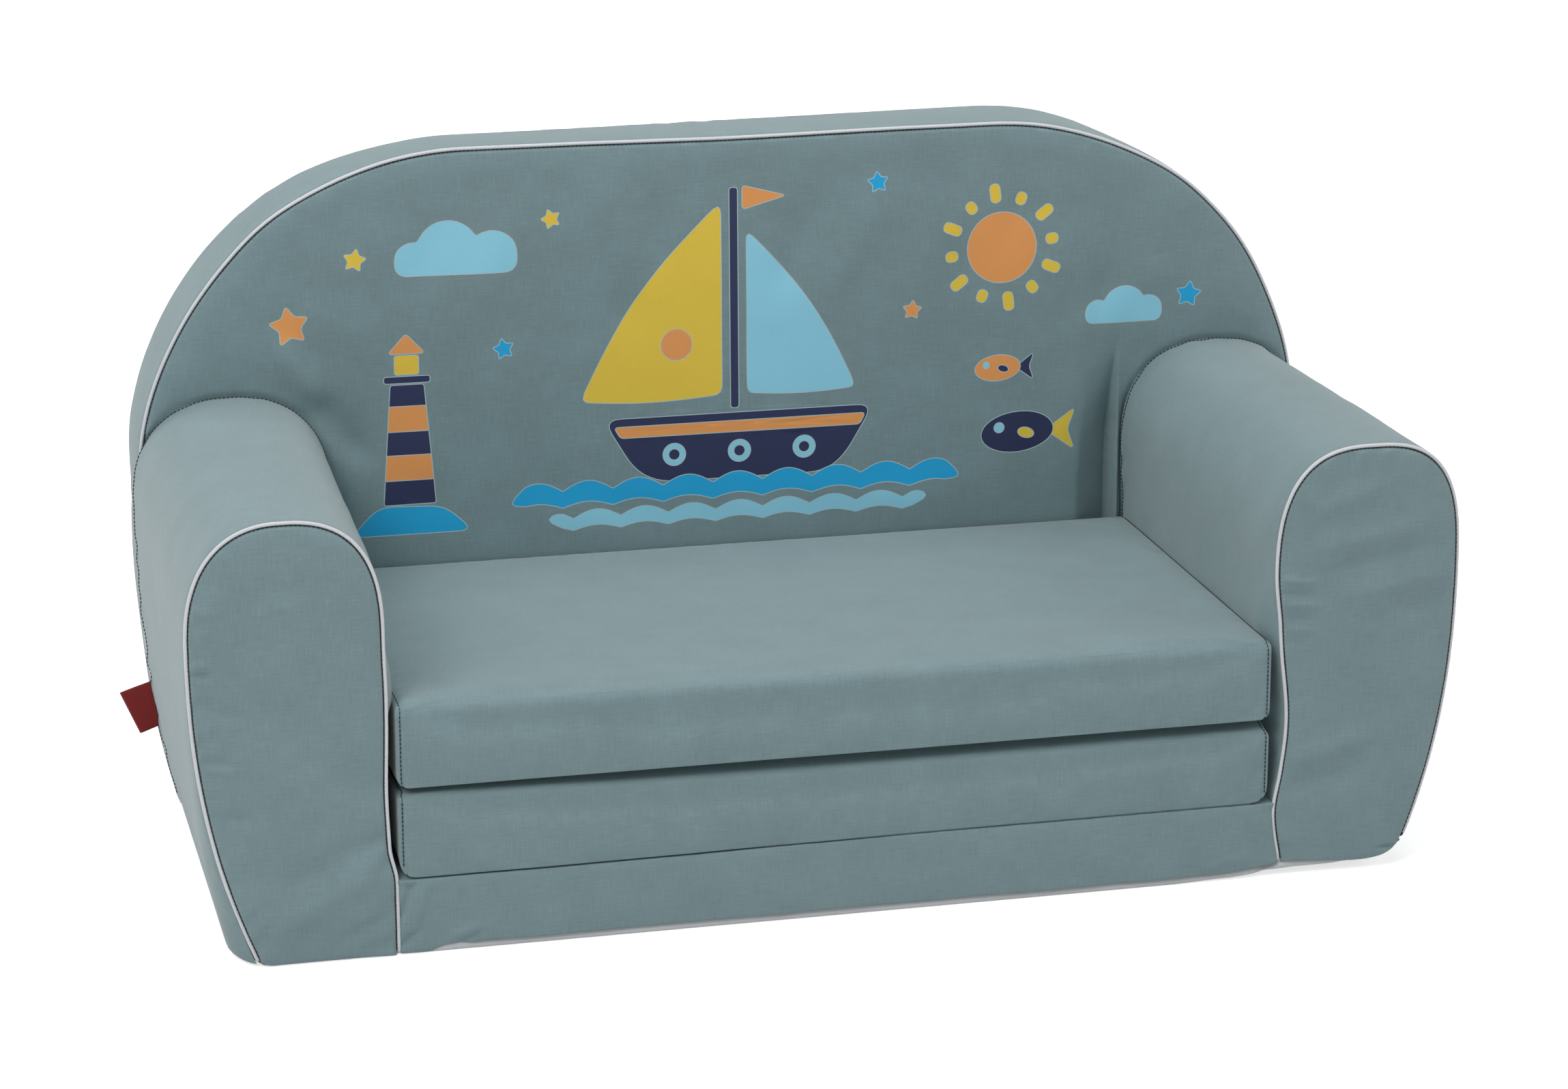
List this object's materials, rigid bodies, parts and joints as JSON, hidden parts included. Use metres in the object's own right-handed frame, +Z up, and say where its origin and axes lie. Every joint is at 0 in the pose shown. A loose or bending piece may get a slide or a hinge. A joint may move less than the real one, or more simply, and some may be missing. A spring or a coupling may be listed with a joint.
{
  "type": "childrens sofa",
  "caption": "Small foam sofa with an arched piped back, rolled arms and stacked seat cushions that fold out forward into a floor mattress.",
  "frame": {"origin": "on the floor under the middle of the sofa, on the underside of the bottom cloth", "axes": "+Z up, +Y from the seat to the backrest so that the seat faces -Y, +X to the right as seen from the front"},
  "size_m": [0.7853, 0.3465, 0.42],
  "materials": {
    "cover": "grey-teal plain weave with a slight sheen, backrest front printed",
    "piping": "pale grey satin piping",
    "foam": "cream polyurethane foam, cut",
    "non_woven": "pale grey non-woven cloth",
    "tag": "dark red woven tag, bare",
    "zip_cloth": "woven zip tape",
    "zip_coil": "nylon coil",
    "zip_metal": "plain metal"
  },
  "bodies": {
    "sofa": {"base_foam": "foam", "base_front_panel": "cover", "deck_cloth": "cover", "bottom_cloth": "non_woven", "back_foam": "foam", "back_front_panel": "cover", "back_gusset": "cover", "back_rear_panel": "cover", "back_piping": "piping", "arm_foam_left": "foam", "arm_sleeve_left": "cover", "arm_front_panel_left": "cover", "arm_piping_left": "piping", "arm_foam_right": "foam", "arm_sleeve_right": "cover", "arm_front_panel_right": "cover", "arm_piping_right": "piping", "side_label": "tag", "front_hinge_tape": "cover", "zip_tape_lower": "zip_cloth", "zip_tape_upper": "zip_cloth", "zip_chain": "zip_coil", "zip_stop_left": "zip_metal", "zip_stop_right": "zip_metal"},
    "lower_cushion": {"lower_cushion_foam": "foam", "lower_cushion_wrap": "cover", "lower_cushion_end_left": "cover", "lower_cushion_end_right": "cover", "rear_hinge_tape": "cover"},
    "upper_cushion": {"upper_cushion_foam": "foam", "upper_cushion_wrap": "cover", "upper_cushion_end_left": "cover", "upper_cushion_end_right": "cover"},
    "zip_slider": {"zip_slider": "zip_metal"},
    "zip_pull": {"zip_pull": "zip_metal"}
  },
  "joints": [
    {"name": "lower_fold", "type": "hinge", "parent": "sofa", "child": "lower_cushion", "pos_m": [0, -0.1712, 0.0503], "axis": [1, 0, 0], "range_deg": [0, 180], "deforming": ["front_hinge_tape"]},
    {"name": "upper_fold", "type": "hinge", "parent": "lower_cushion", "child": "upper_cushion", "pos_m": [0, 0.1152, 0.1004], "axis": [1, 0, 0], "range_deg": [-180, 0], "deforming": ["rear_hinge_tape"]},
    {"name": "zip_travel", "type": "slide", "parent": "sofa", "child": "zip_slider", "axis": [-1, 0, 0], "range_m": [0, 0.5484]},
    {"name": "pull_swing", "type": "hinge", "parent": "zip_slider", "child": "zip_pull", "pos_m": [0.2742, 0.17361, 0.03], "axis": [0, 0, -1], "range_deg": [0, 170]}
  ],
  "couplings": [
    {"joint": "upper_fold", "follows": "lower_fold", "ratio": -1}
  ]
}
